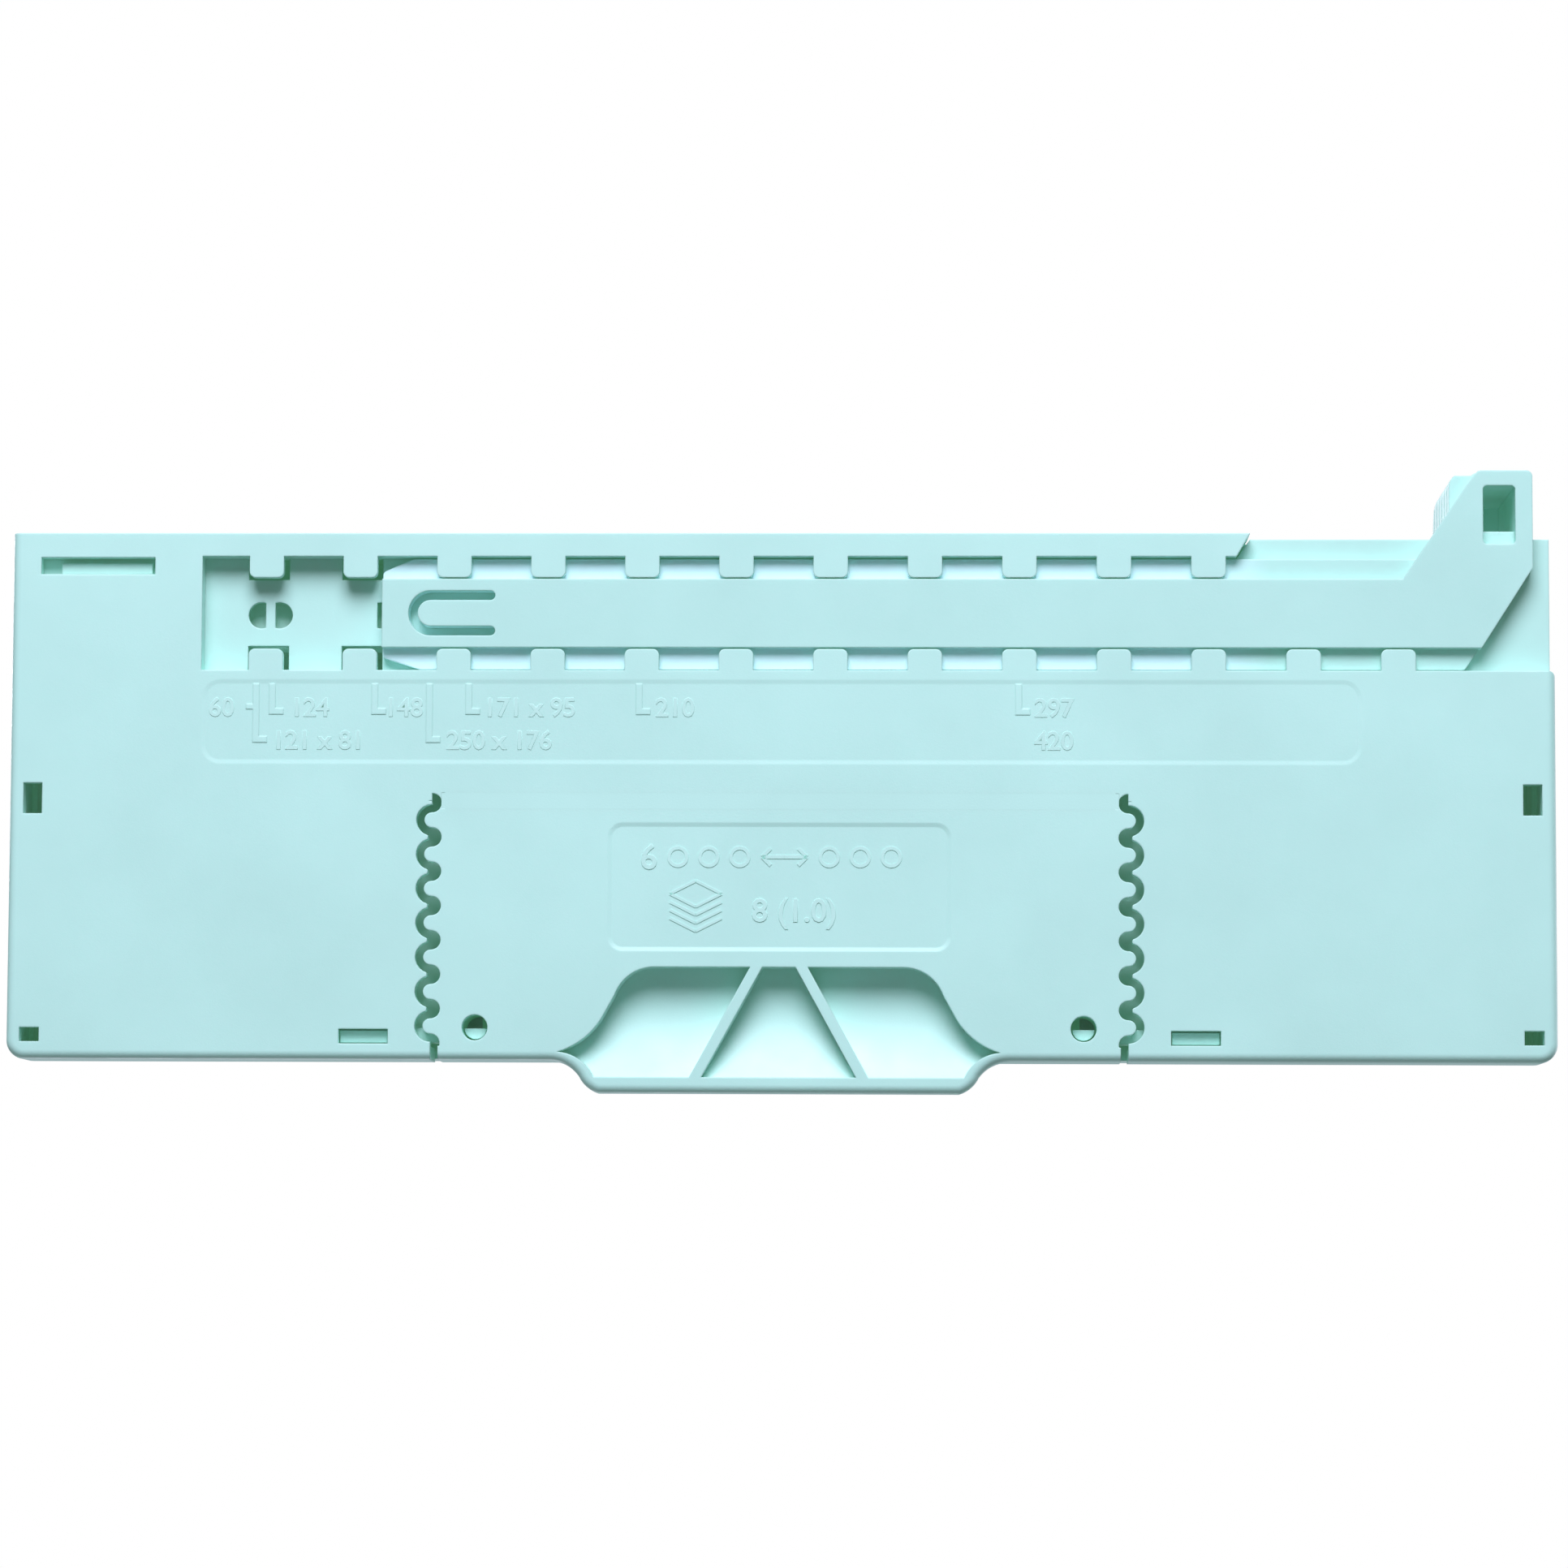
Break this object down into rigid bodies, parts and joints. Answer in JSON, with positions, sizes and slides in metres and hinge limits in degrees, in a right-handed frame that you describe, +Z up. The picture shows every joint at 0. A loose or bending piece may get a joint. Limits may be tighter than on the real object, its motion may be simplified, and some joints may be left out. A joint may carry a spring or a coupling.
{
  "type": "six-hole binder punch",
  "caption": "Compact adjustable desktop punch for ring-binder paper, with a sliding paper guide and a chip-emptying door underneath.",
  "frame": {"origin": "middle of the bounding box's bottom face", "axes": "+Z up, +X along the row of holes to the user's right, -Y towards the user, where the paper goes in"},
  "size_m": [0.18, 0.0728, 0.0491],
  "materials": {
    "cover": "mint ABS, smooth satin",
    "door": "mint ABS, smooth satin",
    "housing": "mint ABS, smooth satin",
    "guide": "mint ABS, smooth satin",
    "handle": "mint ABS, smooth satin",
    "scale": "printed white strip",
    "pad": "pale soft-touch pad",
    "grip": "white ABS",
    "chassis_steel": "zinc-plated sheet",
    "frame_steel": "zinc-plated sheet",
    "rod_steel": "ground rod",
    "pin_steel": "hardened, ground",
    "spring_steel": "spring wire",
    "carriage_zinc": "die-cast",
    "cap": "dark acetal",
    "screw": "zinc-plated"
  },
  "bodies": {
    "base": {"bottom_cover": "cover", "base_housing": "housing", "scale_strip": "scale", "chassis": "chassis_steel", "chassis_screws": "screw", "rail_rod": "rod_steel", "right_end_cap": "housing", "left_end_cap": "housing", "end_cap_screws": "screw", "rear_cover": "housing", "right_hinge_pin": "rod_steel", "left_hinge_pin": "rod_steel", "hinge_clips": "spring_steel"},
    "chip_door": {"chip_door": "door"},
    "guide": {"guide_ruler": "guide"},
    "lever": {"lever_frame": "frame_steel", "press_bar": "rod_steel", "lever_cover": "handle", "lever_pad": "pad", "lever_screws": "screw"},
    "left_carriage": {"left_carriage": "carriage_zinc", "left_die_plate": "pin_steel", "left_carriage_grip": "grip", "left_drag_spring": "spring_steel", "return_spring_1": "spring_steel", "return_spring_2": "spring_steel", "return_spring_3": "spring_steel"},
    "right_carriage": {"right_carriage": "carriage_zinc", "right_die_plate": "pin_steel", "right_carriage_grip": "grip", "right_drag_spring": "spring_steel", "return_spring_4": "spring_steel", "return_spring_5": "spring_steel", "return_spring_6": "spring_steel"},
    "punch_1": {"punch_pin_1": "pin_steel", "pin_cap_1": "cap"},
    "punch_2": {"punch_pin_2": "pin_steel", "pin_cap_2": "cap"},
    "punch_3": {"punch_pin_3": "pin_steel", "pin_cap_3": "cap"},
    "punch_4": {"punch_pin_4": "pin_steel", "pin_cap_4": "cap"},
    "punch_5": {"punch_pin_5": "pin_steel", "pin_cap_5": "cap"},
    "punch_6": {"punch_pin_6": "pin_steel", "pin_cap_6": "cap"}
  },
  "joints": [
    {"name": "lever_press", "type": "hinge", "parent": "base", "child": "lever", "pos_m": [0, 0.0235, 0.0336], "axis": [1, 0, 0], "range_deg": [0, 13.4], "stiffness_Nm_per_rad": 1.9, "springref_deg": -7.45},
    {"name": "chip_door_hinge", "type": "hinge", "parent": "base", "child": "chip_door", "pos_m": [0, 0.0024, 0.0001], "axis": [-1, 0, 0], "range_deg": [0, 70]},
    {"name": "left_carriage_slide", "type": "slide", "parent": "base", "child": "left_carriage", "axis": [1, 0, 0], "range_m": [-0.0095, 0.016]},
    {"name": "right_carriage_slide", "type": "slide", "parent": "base", "child": "right_carriage", "axis": [1, 0, 0], "range_m": [-0.016, 0.0095]},
    {"name": "guide_slide", "type": "slide", "parent": "base", "child": "guide", "axis": [1, 0, 0], "range_m": [-0.0202, 0.068]},
    {"name": "punch_1_slide", "type": "slide", "parent": "left_carriage", "child": "punch_1", "axis": [0, 0, -1], "range_m": [0, 0.00503], "deforming": ["return_spring_1"]},
    {"name": "punch_2_slide", "type": "slide", "parent": "left_carriage", "child": "punch_2", "axis": [0, 0, -1], "range_m": [0, 0.00503], "deforming": ["return_spring_2"]},
    {"name": "punch_3_slide", "type": "slide", "parent": "left_carriage", "child": "punch_3", "axis": [0, 0, -1], "range_m": [0, 0.00503], "deforming": ["return_spring_3"]},
    {"name": "punch_4_slide", "type": "slide", "parent": "right_carriage", "child": "punch_4", "axis": [0, 0, -1], "range_m": [0, 0.00503], "deforming": ["return_spring_4"]},
    {"name": "punch_5_slide", "type": "slide", "parent": "right_carriage", "child": "punch_5", "axis": [0, 0, -1], "range_m": [0, 0.00503], "deforming": ["return_spring_5"]},
    {"name": "punch_6_slide", "type": "slide", "parent": "right_carriage", "child": "punch_6", "axis": [0, 0, -1], "range_m": [0, 0.00503], "deforming": ["return_spring_6"]}
  ],
  "couplings": [
    {"joint": "punch_1_slide", "follows": "lever_press", "m_per_rad": 0.021451},
    {"joint": "punch_2_slide", "follows": "lever_press", "m_per_rad": 0.021451},
    {"joint": "punch_3_slide", "follows": "lever_press", "m_per_rad": 0.021451},
    {"joint": "punch_4_slide", "follows": "lever_press", "m_per_rad": 0.021451},
    {"joint": "punch_5_slide", "follows": "lever_press", "m_per_rad": 0.021451},
    {"joint": "punch_6_slide", "follows": "lever_press", "m_per_rad": 0.021451}
  ]
}
